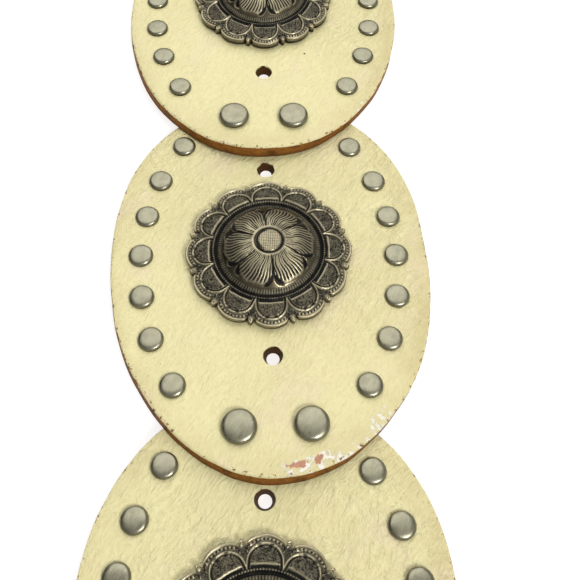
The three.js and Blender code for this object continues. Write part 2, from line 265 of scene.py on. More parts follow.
def select_only(piece):
    deselect_all()
    piece.select_set(True)
    bpy.context.view_layer.objects.active = piece


def spun(name, profile, steps):
    """A closed turned piece. The profile runs from the top of the axis over the edge to its foot."""
    deselect_all()
    bpy.ops.mesh.primitive_plane_add(size=MM)
    piece = bpy.context.object
    piece.name = name
    bpy.ops.object.mode_set(mode="EDIT")
    bpy.ops.mesh.select_all(action="SELECT")
    bpy.ops.mesh.merge(type="CENTER")
    points = [Vector((radius, 0, height)) for radius, height in profile]
    bpy.ops.transform.translate(value=points[0])
    for start, end in zip(points, points[1:]):
        bpy.ops.mesh.extrude_vertices_move(TRANSFORM_OT_translate={"value": end - start})
    bpy.ops.mesh.select_all(action="SELECT")
    bpy.ops.mesh.spin(steps=steps, angle=2 * math.pi, center=(0, 0, 0), axis=(0, 0, 1))
    bpy.ops.mesh.select_all(action="SELECT")
    bpy.ops.mesh.remove_doubles(threshold=0.002 * MM)
    bpy.ops.mesh.normals_make_consistent(inside=False)
    bpy.ops.object.mode_set(mode="OBJECT")
    return piece


def smooth(piece, degrees=35):
    select_only(piece)
    bpy.ops.object.shade_smooth_by_angle(angle=math.radians(degrees))


def coords(mesh):
    values = np.empty(len(mesh.vertices) * 3)
    mesh.vertices.foreach_get("co", values)
    return values.reshape(-1, 3)


def set_coords(mesh, values):
    mesh.vertices.foreach_set("co", values.ravel())
    mesh.update()


def point_attribute(mesh, name, values):
    """Writes one number for each vertex, from 0 to 1, as a named attribute."""
    attribute = mesh.attributes.new(name, "FLOAT", "POINT")
    attribute.data.foreach_set("value", np.ascontiguousarray(values, dtype=np.float32))


def copied(piece, name, placing):
    """A copy with its own mesh, its place in the mesh and its object at the origin."""
    copy = piece.copy()
    copy.data = piece.data.copy()
    copy.name = name
    copy.data.name = name
    copy.data.transform(placing)
    bpy.context.collection.objects.link(copy)
    return copy


def discard(piece):
    mesh = piece.data
    bpy.data.objects.remove(piece)
    bpy.data.meshes.remove(mesh)


def settle(piece, slot, *nodes):
    """Hangs a finished piece from the root and hides the CAD nodes that it stands for; the slot is not used."""
    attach(piece, "root")
    if nodes:
        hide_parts(*nodes)


def bump_shape(distance, width):
    """A soft bump, 1 at no distance and near 0 from one and a half widths away."""
    return np.exp(-((distance / width) ** 2))


def band(distance, half, soft):
    """1 within half of a line and 0 from half and soft away, and a smooth step between."""
    return ease(half + soft, half, np.abs(distance))


def ease(low, high, value):
    """0 below low and 1 above high, and a smooth step between."""
    share = np.clip((value - low) / (high - low), 0, 1)
    return share * share * (3 - 2 * share)


# Materials


def put(tree, kind, inputs=None, **settings):
    """Adds a node with its settings, and sets or links its inputs."""
    node = tree.nodes.new(kind)
    for name, value in settings.items():
        setattr(node, name, value)
    for key, value in (inputs or {}).items():
        socket = node.inputs[key]
        if isinstance(value, bpy.types.NodeSocket):
            tree.links.new(value, socket)
        else:
            socket.default_value = value
    return node


def maths(tree, operation, *values, clamp=False):
    """The output of one Math node."""
    node = put(tree, "ShaderNodeMath", dict(enumerate(values)), operation=operation)
    node.use_clamp = clamp
    return node.outputs[0]


def mapped(tree, value, low, high, to_low=0.0, to_high=1.0):
    """Value eased from one range into another."""
    inputs = {"Value": value, "From Min": low, "From Max": high, "To Min": to_low, "To Max": to_high}
    return put(tree, "ShaderNodeMapRange", inputs, interpolation_type="SMOOTHSTEP").outputs["Result"]


def blended(tree, share, first, second, how="MIX"):
    """The colour output of one Mix node."""
    node = put(tree, "ShaderNodeMix", data_type="RGBA", blend_type=how)
    for socket, value in zip((node.inputs[0], node.inputs[6], node.inputs[7]), (share, first, second)):
        if isinstance(value, bpy.types.NodeSocket):
            tree.links.new(value, socket)
        else:
            socket.default_value = value
    return node.outputs[2]


def rgba(colour):
    return (*colour, 1.0)


def clouds(tree, where, scale, detail=3.0, roughness=0.55, distortion=0.0):
    """The even output of one Noise node, in features per metre."""
    inputs = {"Vector": where, "Scale": scale, "Detail": detail,
              "Roughness": roughness, "Distortion": distortion}
    return put(tree, "ShaderNodeTexNoise", inputs).outputs[0]


def stretched(tree, where, angle, shares):
    """Coordinates turned about Z and scaled, for patterns with a grain."""
    turned = put(tree, "ShaderNodeMapping", {"Vector": where, "Rotation": (0, 0, angle)})
    return put(tree, "ShaderNodeMapping", {"Vector": turned.outputs[0], "Scale": shares}).outputs[0]


def new_material(name):
    """A material's tree, with its Principled BSDF and its object coordinates."""
    material = bpy.data.materials.new(name)
    material.use_nodes = True
    tree = material.node_tree
    shader = tree.nodes["Principled BSDF"]
    where = tree.nodes.new("ShaderNodeTexCoord").outputs["Object"]
    return material, tree, shader, where


def link(tree, shader, **values):
    """Links outputs to the shader's inputs; an underscore in a name stands for a space."""
    for name, value in values.items():
        socket = shader.inputs[name.replace("_", " ")]
        if isinstance(value, bpy.types.NodeSocket):
            tree.links.new(value, socket)
        else:
            socket.default_value = value


def new_group(name, inputs, outputs):
    """A shader node group with float inputs, a Vector input first, and float outputs."""
    group = bpy.data.node_groups.new(name, "ShaderNodeTree")
    group.interface.new_socket("Vector", in_out="INPUT", socket_type="NodeSocketVector")
    for label, value in inputs.items():
        socket = group.interface.new_socket(label, in_out="INPUT", socket_type="NodeSocketFloat")
        socket.default_value = value
    for label in outputs:
        group.interface.new_socket(label, in_out="OUTPUT", socket_type="NodeSocketFloat")
    return group, group.nodes.new("NodeGroupInput"), group.nodes.new("NodeGroupOutput")


def hide_group():
    """Skin of a hide: its slanted grain and its creases, and the clouds that its tone varies in."""
    group, given, result = new_group(
        "Hide Grain", {"Grain Scale": 1350.0, "Crease Scale": 480.0}, ("Grain", "Creases", "Tone"))
    where = given.outputs["Vector"]
    drift = put(group, "ShaderNodeTexNoise", {"Vector": where, "Scale": 42.0, "Detail": 2.0})
    centred = put(group, "ShaderNodeVectorMath", {0: drift.outputs["Color"], 1: (0.5, 0.5, 0.5)},
                  operation="SUBTRACT")
    lean = put(group, "ShaderNodeVectorMath", {0: centred.outputs[0], 1: (0.008, 0.008, 0.0), 2: where},
               operation="MULTIPLY_ADD").outputs[0]
    slanted = stretched(group, lean, math.radians(33), (1.0, 0.38, 1.0))
    streaks = clouds(group, slanted, given.outputs["Grain Scale"], 3.0, 0.75, 0.2)
    folds = []
    for angle, share in ((38, 0.3), (-20, 0.5)):
        along = stretched(group, lean, math.radians(angle), (1.0, share, 1.0))
        wave = clouds(group, along, given.outputs["Crease Scale"], 5.0, 0.62, 0.35)
        folds.append(mapped(group, maths(group, "ABSOLUTE", maths(group, "SUBTRACT", wave, 0.5)), 0.0, 0.13))
    crumpled = maths(group, "MULTIPLY", folds[0], mapped(group, folds[1], 0.0, 1.0, 0.55, 1.0))
    group.links.new(streaks, result.inputs["Grain"])
    group.links.new(crumpled, result.inputs["Creases"])
    group.links.new(clouds(group, where, 60.0, 4.0), result.inputs["Tone"])
    return group


def tarnish_group():
    """Uneven tarnish and fine rubbing marks on plated metal."""
    group, given, result = new_group(
        "Tarnish", {"Scale": 300.0, "Amount": 0.5}, ("Mask", "Marks"))
    where = given.outputs["Vector"]
    spots = clouds(group, where, given.outputs["Scale"], 5.0, 0.65)
    mask = maths(group, "MULTIPLY", mapped(group, spots, 0.38, 0.72), given.outputs["Amount"])
    rubbed = clouds(group, stretched(group, where, math.radians(25), (1.0, 0.08, 1.0)), 2400.0, 3.0)
    group.links.new(mask, result.inputs["Mask"])
    group.links.new(rubbed, result.inputs["Marks"])
    return group


def group_node(tree, group, where, **values):
    node = put(tree, "ShaderNodeGroup", node_tree=group)
    tree.links.new(where, node.inputs["Vector"])
    for name, value in values.items():
        node.inputs[name.replace("_", " ")].default_value = value
    return node


def attribute(tree, name):
    return put(tree, "ShaderNodeAttribute", attribute_name=name).outputs["Fac"]


def face_leather(settings, hide):
    """Glazed ivory leather: grain, wandering creases, painted shade in the creases and in the grain's hollows,
    yellowed rims, pink blushes, specks, chips.
    """
    material, tree, shader, where = new_material("Ivory Leather")
    grain = group_node(tree, hide, where)
    rim = attribute(tree, "rim")
    border = attribute(tree, "border")
    wear = attribute(tree, "wear")
    creasing = attribute(tree, "creasing")
    shade = rgba(settings.shade_colour)
    tone = mapped(tree, clouds(tree, where, 28.0, 4.0), 0.35, 0.75, 0.0, 0.16)
    colour = blended(tree, tone, rgba(settings.face_colour), shade)
    rim_patches = mapped(tree, clouds(tree, where, 110.0, 4.0), 0.3, 0.62, 0.15, 0.8)
    colour = blended(tree, maths(tree, "MULTIPLY", rim, rim_patches), colour, shade)
    blush = mapped(tree, clouds(tree, where, 75.0, 3.0), 0.52, 0.76, 0.0, 0.42)
    colour = blended(tree, blush, colour, rgba(settings.blush_colour))
    # painted shade: the creases are darkened towards the shade colour, standing in for the shadow in their
    # folds
    crease_shade = mapped(tree, grain.outputs["Creases"], 0.5, 0.05)
    crease_shade = maths(tree, "MULTIPLY", crease_shade, mapped(tree, creasing, 0.0, 1.0, 0.05, 0.22))
    colour = blended(tree, crease_shade, colour, shade)
    # painted shade: the grain's low parts are darkened towards the shade colour
    colour = blended(tree, mapped(tree, grain.outputs["Grain"], 0.56, 0.38, 0.0, 0.3), colour, shade)
    specks = put(tree, "ShaderNodeTexVoronoi", {"Vector": where, "Scale": 190.0}).outputs["Distance"]
    speck = maths(tree, "MULTIPLY", mapped(tree, specks, 0.075, 0.05),
                  mapped(tree, clouds(tree, where, 130.0, 1.0), 0.6, 0.63))
    colour = blended(tree, speck, colour, (0.03, 0.02, 0.012, 1.0))
    flaking = maths(tree, "ADD", clouds(tree, where, 620.0, 5.0, 0.65), maths(tree, "MULTIPLY", wear, 0.1))
    chipped = maths(tree, "MULTIPLY", mapped(tree, flaking, 0.58, 0.63), mapped(tree, wear, 0.1, 0.4))
    colour = blended(tree, chipped, colour, (0.93, 0.88, 0.76, 1.0))
    torn = maths(tree, "MULTIPLY_ADD", clouds(tree, where, 900.0, 4.0, 0.6), 0.9, attribute(tree, "bared"))
    bared = mapped(tree, torn, 0.93, 1.0)
    colour = blended(tree, bared, colour, (0.56, 0.27, 0.17, 1.0))
    ragged = maths(tree, "ADD", clouds(tree, where, 900.0, 4.0, 0.6), maths(tree, "MULTIPLY", border, 0.1))
    nicked = maths(tree, "MULTIPLY", mapped(tree, ragged, 0.68, 0.72), mapped(tree, border, 0.8, 1.0))
    colour = blended(tree, nicked, colour, rgba(settings.edge_colour))
    folded = maths(tree, "MULTIPLY", grain.outputs["Creases"], mapped(tree, creasing, 0.0, 1.0, 0.12, 0.8))
    relief = maths(tree, "ADD", folded, maths(tree, "MULTIPLY", grain.outputs["Grain"], 0.9))
    relief = maths(tree, "SUBTRACT", relief, maths(tree, "MULTIPLY", chipped, 0.3))
    bump = put(tree, "ShaderNodeBump", {"Height": relief, "Strength": 0.7, "Distance": 0.5 * MM})
    gloss = mapped(tree, grain.outputs["Tone"], 0.3, 0.7, 0.42, 0.56)
    link(tree, shader, Base_Color=colour, Roughness=gloss, Normal=bump.outputs[0])
    link(tree, shader, Specular_IOR_Level=0.4, Coat_Weight=0.12)
    shader.inputs["Coat Roughness"].default_value = 0.35
    return material


def cut_leather(settings, hide):
    """Brown leather of the cut edges: fibrous, with painted shade towards the bottom and on the lace holes'
    walls, with smears of glaze.
    """
    material, tree, shader, where = new_material("Cut Edge")
    grain = group_node(tree, hide, where, Grain_Scale=2600.0, Crease_Scale=900.0)
    depth = attribute(tree, "depth")
    fibres = clouds(tree, stretched(tree, where, 0.0, (1.0, 1.0, 3.0)), 700.0, 4.0)
    dark = rgba([channel * 0.28 for channel in settings.edge_colour])
    light = rgba([min(1.0, channel * 1.7) for channel in settings.edge_colour])
    colour = blended(tree, mapped(tree, fibres, 0.3, 0.7), rgba(settings.edge_colour), light)
    # painted shade: the lower part of the cut edge is darkened, standing in for the shadow of the gap beneath
    # it
    colour = blended(tree, mapped(tree, depth, 0.45, 1.0, 0.0, 0.8), colour, dark)
    # painted shade: the walls of the lace holes and the slit are darkened
    colour = blended(tree, maths(tree, "MULTIPLY", attribute(tree, "hole_wall_shade"), 0.9), colour, dark)
    streaks = mapped(tree, clouds(tree, where, 260.0, 3.0), 0.52, 0.7)
    colour = blended(tree, maths(tree, "MULTIPLY", streaks, 0.7), colour, dark)
    glazed = maths(tree, "MULTIPLY", mapped(tree, depth, 0.2, 0.04),
                   mapped(tree, clouds(tree, where, 420.0, 3.0), 0.42, 0.5))
    colour = blended(tree, glazed, colour, rgba(settings.face_colour))
    bump = put(tree, "ShaderNodeBump",
               {"Height": maths(tree, "ADD", fibres, grain.outputs["Creases"]), "Strength": 0.6,
                "Distance": 0.3 * MM})
    link(tree, shader, Base_Color=colour, Roughness=0.62, Normal=bump.outputs[0])
    link(tree, shader, Specular_IOR_Level=0.15)
    return material


def back_leather(hide):
    """The flesh side: matt tan suede."""
    material, tree, shader, where = new_material("Flesh Side")
    grain = group_node(tree, hide, where, Crease_Scale=260.0)
    nap = mapped(tree, clouds(tree, where, 160.0, 6.0, 0.7), 0.3, 0.7)
    colour = blended(tree, nap, (0.36, 0.22, 0.12, 1.0), (0.52, 0.35, 0.21, 1.0))
    bump = put(tree, "ShaderNodeBump",
               {"Height": maths(tree, "ADD", grain.outputs["Grain"], grain.outputs["Creases"]), "Strength": 0.5,
                "Distance": 0.4 * MM})
    link(tree, shader, Base_Color=colour, Roughness=0.9, Normal=bump.outputs[0])
    return material


def satin_nickel(settings, tarnish):
    """Satin nickel plate of studs, rivets, posts and button."""
    material, tree, shader, where = new_material("Satin Nickel")
    aged = group_node(tree, tarnish, where, Scale=420.0, Amount=0.6)
    dull = [channel * 0.62 for channel in settings.nickel_colour]
    colour = blended(tree, aged.outputs["Mask"], rgba(settings.nickel_colour), rgba(dull))
    # painted shade: a dark ring round the cap's foot, standing in for its contact shadow and dark reflection
    colour = blended(tree, maths(tree, "MULTIPLY", attribute(tree, "foot_shade"), 0.9), colour,
                     rgba([channel * 0.1 for channel in settings.nickel_colour]))
    rough = mapped(tree, aged.outputs["Marks"], 0.3, 0.7, 0.26, 0.38)
    bump = put(tree, "ShaderNodeBump",
               {"Height": aged.outputs["Marks"], "Strength": 0.08, "Distance": 0.1 * MM})
    link(tree, shader, Base_Color=colour, Metallic=1.0, Roughness=rough, Normal=bump.outputs[0])
    return material


def cross_hatch(tree, pitch):
    """Fine crossed lines on the plan map: 1 on a line and 0 between."""
    plan = put(tree, "ShaderNodeSeparateXYZ", {0: put(tree, "ShaderNodeUVMap", uv_map="plan").outputs[0]})
    waves = [maths(tree, "COSINE", maths(tree, "MULTIPLY", plan.outputs[axis], 2 * math.pi / pitch))
             for axis in (0, 1)]
    return mapped(tree, maths(tree, "MAXIMUM", *waves), 0.3, 0.9)


def antique_silver(settings, tarnish):
    """Antiqued silver plate: bright where it is rubbed, nearly black with patina where it is recessed, and with
    painted shade low on its side wall.
    """
    material, tree, shader, where = new_material("Antique Silver")
    patina_and_shade = attribute(tree, "patina_and_shade")
    etched = attribute(tree, "etched")
    ground = attribute(tree, "ground")
    aged = group_node(tree, tarnish, where, Scale=520.0, Amount=0.55)
    grit = clouds(tree, where, 2300.0, 4.0, 0.7)
    scratchy = maths(tree, "MULTIPLY", etched, mapped(tree, grit, 0.4, 0.62))
    lined = maths(tree, "MULTIPLY", attribute(tree, "hatched"), cross_hatch(tree, 0.5 * MM))
    dark = maths(tree, "ADD", patina_and_shade, maths(tree, "MULTIPLY", aged.outputs["Mask"], 0.3))
    dark = maths(tree, "ADD", dark, maths(tree, "MULTIPLY", lined, 0.62))
    dark = maths(tree, "ADD", dark, maths(tree, "MULTIPLY", scratchy, 0.28), clamp=True)
    plate = blended(tree, ground, rgba(settings.silver_colour), rgba(settings.ground_colour))
    colour = blended(tree, dark, plate, rgba(settings.patina_colour))
    rubbed = mapped(tree, dark, 0.0, 1.0, 0.36, 0.5)
    rough = maths(tree, "SUBTRACT", rubbed, maths(tree, "MULTIPLY", ground, 0.16))
    metal = mapped(tree, dark, 0.4, 1.0, 1.0, 0.35)
    pitted = maths(tree, "SUBTRACT", maths(tree, "MULTIPLY", scratchy, -0.6), lined)
    bump = put(tree, "ShaderNodeBump", {"Height": pitted, "Strength": 0.5, "Distance": 0.12 * MM})
    link(tree, shader, Base_Color=colour, Metallic=metal, Roughness=rough, Normal=bump.outputs[0])
    link(tree, shader, Specular_IOR_Level=0.1)
    return material


# Leather ovals

LEATHER_SLOTS = ("Ivory Leather", "Cut Edge", "Flesh Side")


def oval_profile(settings):
    """Radii and heights of an oval's half section across its width, face up at height 0."""
    half = OVAL_HALF_WIDTH
    rounding = 0.5 * MM
    shares = [(i / settings.rings) ** 0.85 for i in range(settings.rings + 1)]
    face = [(share * (half - rounding), 0.0) for share in shares]
    edge = [(half - 0.15 * MM, -0.13 * MM), (half, -0.45 * MM), (half - 0.1 * MM, -0.5 * THICKNESS),
            (half - 0.15 * MM, -THICKNESS + 0.45 * MM), (half - 0.35 * MM, -THICKNESS + 0.12 * MM)]
    back = [(share * (half - 0.8 * MM), -THICKNESS) for share in (1.0, 0.8, 0.55, 0.3, 0.0)]
    return face + edge + back


def punched(piece, places, radius, back_radius):
    """Cuts round holes through an oval, narrower at its back than at its face."""
    depth = 4 * THICKNESS
    widening = 2 * (radius - back_radius)
    for place in places:
        deselect_all()
        bpy.ops.mesh.primitive_cone_add(
            vertices=28, radius1=radius - widening, radius2=radius + widening, depth=depth,
            location=(place[0], place[1], 0))
        cutter = bpy.context.object
        cut = piece.modifiers.new("Hole", "BOOLEAN")
        cut.object = cutter
        cut.solver = "EXACT"
        select_only(piece)
        bpy.ops.object.modifier_apply(modifier=cut.name)
        discard(cutter)


def slit_cut(piece, start, end, width):
    """Cuts a narrow slit through an oval along its middle."""
    deselect_all()
    bpy.ops.mesh.primitive_cube_add(size=1, location=(0, (start + end) / 2, 0))
    cutter = bpy.context.object
    bpy.ops.transform.resize(value=(width, end - start, 4 * THICKNESS))
    bpy.ops.object.transform_apply(location=False, rotation=False, scale=True)
    cut = piece.modifiers.new("Slit", "BOOLEAN")
    cut.object = cutter
    cut.solver = "EXACT"
    select_only(piece)
    bpy.ops.object.modifier_apply(modifier=cut.name)
    discard(cutter)


UPPER_FULLNESS, LOWER_FULLNESS = 2.6, 1.95  # powers of the outline's halves; 2 would be an ellipse's


def broadening(y):
    """How many times as wide as an ellipse the oval is at a height: its upper shoulders are full."""
    share = np.clip(np.abs(y) / OVAL_HALF_LENGTH, 0, 0.9995)
    fullness = np.where(y > 0, UPPER_FULLNESS, LOWER_FULLNESS)
    return np.sqrt((1 - share ** fullness) / (1 - share ** 2))


def oval_blank(settings):
    """An oval before its places are known: its round blank drawn out to its outline."""
    blank = spun("oval_blank", oval_profile(settings), settings.steps)
    bpy.ops.object.mode_set(mode="EDIT")
    bpy.ops.mesh.select_all(action="SELECT")
    bpy.ops.transform.resize(value=(1, OVAL_HALF_LENGTH / OVAL_HALF_WIDTH, 1))
    bpy.ops.object.mode_set(mode="OBJECT")
    points = coords(blank.data)
    points[:, 0] *= broadening(points[:, 1])
    set_coords(blank.data, points)
    return blank


def edge_share(x, y):
    """How far out each point is: 0 in the middle of the oval and 1 on its outline."""
    return np.hypot(x / broadening(y) / OVAL_HALF_WIDTH, y / OVAL_HALF_LENGTH)


LIP_CURL = 1.4 * MM
LOPSIDED = 1.1 * MM  # how far the middle oval's lower right stands out and its lower left falls short


def lip_rise(y, lip_y):
    """How far the free lower lip has curled up, as in the frame's ovals."""
    share = np.clip((lip_y - y) / (lip_y + OVAL_HALF_LENGTH), 0, None)
    return LIP_CURL * share * share


def lip_slope(y, lip_y):
    """Steepness of the curled lip, by which the cut below its face swings out."""
    span = lip_y + OVAL_HALF_LENGTH
    return 2 * LIP_CURL * np.clip((lip_y - y) / span, 0, 1) / span


def near_bearing(bearing, degrees, width):
    """A soft bump round a bearing, with a width in degrees."""
    off = (bearing - math.radians(degrees) + math.pi) % (2 * math.pi) - math.pi
    return bump_shape(off, math.radians(width))


def cut_slant(bearing):
    """How far the foot of the slanted cut stands out beyond the face at each bearing."""
    lower, lower_left = near_bearing(bearing, -85, 48), near_bearing(bearing, -138, 40)
    return (0.12 + 0.55 * lower + 0.95 * lower_left) * MM


# stretches of flaking: bearing and reach in degrees, and how far out they begin
MIDDLE_WEAR = ((-80, 8.5, 0.95), (-64, 9, 0.984), (-53.5, 3.5, 0.955))
OTHER_WEAR = ((-48, 3, 0.96),)
# bared patches: bearing in degrees, how far out they lie, and radius in millimetres
MIDDLE_PATCHES = ((-85.5, 0.966, 1.5), (-81, 0.962, 1.4), (-76.5, 0.96, 1.5), (-55, 0.966, 1.0))
OTHER_PATCHES = ((-47, 0.985, 0.9),)


def scuffs(x, y, number):
    """Where the rim has lost its glaze: stretches of flaking, and patches bared to the leather."""
    middle = number == MIDDLE_OVAL
    bearing = np.arctan2(y / OVAL_HALF_LENGTH, x / OVAL_HALF_WIDTH)
    out = edge_share(x, y)
    flaking = np.zeros(len(x))
    for degrees, reach, inner in MIDDLE_WEAR if middle else OTHER_WEAR:
        stretch = ease(0.25, 0.6, near_bearing(bearing, degrees, reach))
        flaking = np.maximum(flaking, stretch * ease(inner - 0.008, inner + 0.012, out))
    bared = np.zeros(len(x))
    for degrees, share, radius in MIDDLE_PATCHES if middle else OTHER_PATCHES:
        patch_x = share * OVAL_HALF_WIDTH * math.cos(math.radians(degrees))
        patch_y = share * OVAL_HALF_LENGTH * math.sin(math.radians(degrees))
        bared = np.maximum(bared, bump_shape(np.hypot(x - patch_x, y - patch_y), radius * MM))
    return flaking, bared


def paint_oval(piece):
    """Gives each face of an oval the glaze, the cut edge or the flesh side by its place."""
    for name in LEATHER_SLOTS:
        piece.data.materials.append(bpy.data.materials[name])
    for face in piece.data.polygons:
        inside = edge_share(face.center.x, face.center.y) < 0.985
        if face.normal.z > 0.45:
            face.material_index = 0
        elif face.normal.z < -0.6 and inside:
            face.material_index = 2
        else:
            face.material_index = 1


def shape_oval(piece, number, settings):
    """Waves, dimples, the curled lip and the uneven outline of one oval, and its wear."""
    mesh = piece.data
    points = coords(mesh)
    x, y, z = points[:, 0].copy(), points[:, 1].copy(), points[:, 2].copy()
    out = edge_share(x, y)
    bearing = np.arctan2(y / OVAL_HALF_LENGTH, x / OVAL_HALF_WIDTH)
    seed = Vector((0, 0, 10.0 * number))
    swell, wobble = [], []
    for px, py, angle in zip(x, y, bearing):
        swell.append(noise.noise(Vector((px, py, 0)) / (24 * MM) + seed))
        wobble.append(noise.noise(Vector((math.cos(angle), math.sin(angle), 0)) * 2.6 + seed)
                      + 0.4 * noise.noise(Vector((math.cos(angle), math.sin(angle), 0)) * 9 + seed))
    into_own = PLACINGS[number].inverted()
    fasteners = [into_own @ place for _side, place in fastener_places(number)]
    free = np.ones(len(x))
    for near in (number - 1, number):
        for _side, place in fastener_places(near):
            own = into_own @ place
            free = np.minimum(free, 1 - bump_shape(np.hypot(x - own.x, y - own.y), 16 * MM))
    lip_y = min([own.y for own in fasteners] or [-OVAL_HALF_LENGTH * 0.78]) - 4.6 * MM
    rise = settings.waviness * np.array(swell) * free * (0.4 + 0.6 * out)
    rise += lip_rise(y, lip_y)
    sunk = np.zeros(len(x))
    for place in stud_places(number):
        sunk += 0.6 * bump_shape(np.hypot(x - place.x, y - place.y), 5 * MM)
    for own in fasteners:
        sunk += bump_shape(np.hypot(x - own.x, y - own.y), 7 * MM)
    for side in (-1, 1):
        hole_y = settings.middle_y + side * settings.hole_reach
        sunk += 2.2 * bump_shape(np.hypot(x, y - hole_y), 3.4 * MM)
    on_face = z > -0.3 * MM
    deep = np.clip(-z / THICKNESS, 0, 1)
    outward = settings.edge_wobble * np.array(wobble) * ease(0.86, 1.0, out)
    if number == MIDDLE_OVAL:
        lopsided = near_bearing(bearing, -35, 38) - near_bearing(bearing, -140, 26)
        outward += LOPSIDED * lopsided * ease(0.8, 1.0, out)
    outward += cut_slant(bearing) * deep * ease(0.95, 1.0, out)
    points[:, 0] = x + outward * np.cos(bearing)
    points[:, 1] = y + outward * np.sin(bearing) + z * lip_slope(y, lip_y)
    points[:, 2] = z + rise - settings.dimple * sunk * on_face
    set_coords(mesh, points)
    yellowing = 0.4 + 0.6 * near_bearing(bearing, -15, 50)
    point_attribute(mesh, "rim", ease(0.85, 0.98, out) * yellowing)
    point_attribute(mesh, "border", ease(0.93, 1.0, out))
    point_attribute(mesh, "depth", deep)
    # painted shade inside the holes: 1 away from the outline, where the only cut faces are the holes' walls
    point_attribute(mesh, "hole_wall_shade", ease(0.95, 0.9, out))
    scuffed, bared = scuffs(points[:, 0], points[:, 1], number)
    point_attribute(mesh, "wear", scuffed)
    point_attribute(mesh, "bared", bared)
    upper_right = 0.3 + 0.7 * ease(-0.5, 0.6, (0.6 * x / OVAL_HALF_WIDTH + y / OVAL_HALF_LENGTH) / 1.2)
    point_attribute(mesh, "creasing", np.clip(upper_right + 0.3 * np.array(swell), 0, 1))


class BELT_OT_leather_ovals(bpy.types.Operator):
    """Cuts the leather ovals, punches their holes and lays them on each other"""

    bl_idname = "belt.leather_ovals"
    bl_label = "Leather Ovals"

    def execute(self, context):
        settings = context.scene.belt_leather
        hide = hide_group()
        face_leather(settings, hide)
        cut_leather(settings, hide)
        back_leather(hide)
        blank = oval_blank(settings)
        reach = settings.hole_reach
        laces = [(0, settings.middle_y + reach), (0, settings.middle_y - reach)]
        punched(blank, laces, settings.hole_radius, settings.hole_back_radius)
        for number, placing in PLACINGS.items():
            oval = copied(blank, f"leather_{number}", Matrix.Identity(4))
            if number == OVAL_COUNT:
                self.button_hole(oval)
            paint_oval(oval)
            shape_oval(oval, number, settings)
            oval.data.transform(placing)
            smooth(oval, 40)
            settle(oval, "ivory_leather", f"oval_{number}")
        discard(blank)
        return {"FINISHED"}

    def button_hole(self, oval):
        """The last oval's hole for the button, with its slit."""
        into_own = PLACINGS[1].inverted()
        low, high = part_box("closing_button")
        middle = into_own @ Vector(((low[0] + high[0]) / 2, (low[1] + high[1]) / 2, 0))
        pitch = (PLACINGS[1].translation - PLACINGS[2].translation).xy.length
        hole_y = middle.y - pitch
        punched(oval, [(0, hole_y)], 2.4 * MM, 2.4 * MM)
        slit_cut(oval, hole_y, hole_y + 7 * MM, 1.2 * MM)


# Conchos

SCALLOP_COUNT = 12
PETAL_COUNT = 6
PETAL_BEARING = math.radians(7.5)
COLLAR = 15.8  # radii and heights of the concho's relief are in millimetres from here on
DOME_REACH, PLATE_START = 14.7, 14.9  # the dome's mesh meets the plate's in the dark trough
ROPE_INNER, ROPE_OUTER = 13.3, 14.1
DOTTED_LINE = 15.45
ARC_CENTRE, ARC_RADIUS = 16.8, 6.5
LOBE_CENTRE, LOBE_REACH, LOBE_WIDTH = 17.0, 4.2, 4.2
FACE_LEVEL = 3.0
BEAD_COUNT = 13
ROPE_TICKS, COLLAR_TICKS = 118, 138
PETAL_BASE, PETAL_SHOULDER, PETAL_TIP = 4.2, 8.6, 12.3
PETAL_LINES = 12


def ring_radii(start, *spans):
    """Radii of a mesh's rings from a start out; each span has the radius it ends at and a count."""
    radii = [start]
    for end, count in spans:
        last = radii[-1]
        radii += [last + (end - last) * (i + 1) / count for i in range(count)]
    return radii


def bridged(first, second, name):
    """Joins two open turned pieces and closes the gap between their rims."""
    deselect_all()
    first.select_set(True)
    second.select_set(True)
    bpy.context.view_layer.objects.active = first
    bpy.ops.object.join()
    first.name = name
    bpy.ops.object.mode_set(mode="EDIT")
    bpy.ops.mesh.select_mode(type="EDGE")
    bpy.ops.mesh.select_all(action="DESELECT")
    bpy.ops.mesh.select_non_manifold(extend=False, use_wire=False, use_boundary=True, use_multi_face=False,
                                     use_non_contiguous=False, use_verts=False)
    bpy.ops.mesh.bridge_edge_loops()
    bpy.ops.mesh.select_all(action="SELECT")
    bpy.ops.mesh.normals_make_consistent(inside=False)
    bpy.ops.mesh.select_mode(type="VERT")
    bpy.ops.object.mode_set(mode="OBJECT")
    return first


def concho_blank(settings):
    """A flat closed disc, its rings closest where the relief is finest."""
    rim = CONCHO_RADIUS / MM
    inner = ring_radii(0.0, (4.6, 14), (ROPE_INNER, 30), (DOME_REACH, 5))
    outer = ring_radii(PLATE_START, (COLLAR, 5), (20.9, 17), (22.3, 6), (rim, 5))
    side = [(rim, 1.15), (rim, 0.55), (rim - 0.25, 0.1), (rim - 1.0, 0.0), (0.0, 0.0)]
    dome = spun("dome", [(radius * MM, FACE_LEVEL * MM) for radius in inner], settings.dome_steps)
    section = [(radius, FACE_LEVEL) for radius in outer] + side
    plate = spun("plate", [(radius * MM, height * MM) for radius, height in section], settings.plate_steps)
    return bridged(dome, plate, "concho_blank")


def scallop_edge(bearing):
    """Radius of the outline at a bearing from a crest: a round arc, notches and a pointed nub."""
    arc = ARC_CENTRE * np.cos(bearing)
    arc += np.sqrt(np.maximum(ARC_RADIUS ** 2 - (ARC_CENTRE * np.sin(bearing)) ** 2, 0))
    half = math.pi / SCALLOP_COUNT
    off_valley = np.abs(np.abs(bearing) - half) * 180 / math.pi
    notch = bump_shape(off_valley - 2.7, 0.9)
    nub = np.clip(1 - off_valley / 2.1, 0, 1)
    return arc - 0.7 * notch + 1.75 * nub ** 0.7


def dome_height(radius):
    """Height of the smooth dome: a cap of a sphere."""
    foot, low, apex = 14.2, 3.05, CONCHO_HEIGHT / MM
    rise = apex - low
    sphere = (foot * foot + rise * rise) / (2 * rise)
    return apex - sphere + np.sqrt(np.maximum(sphere * sphere - radius * radius, 0))


def scattered(number):
    """An even but disordered share from 0 to 1 for each whole number."""
    return np.sin(number * 12.9898 + 4.1) * 43758.5453 % 1


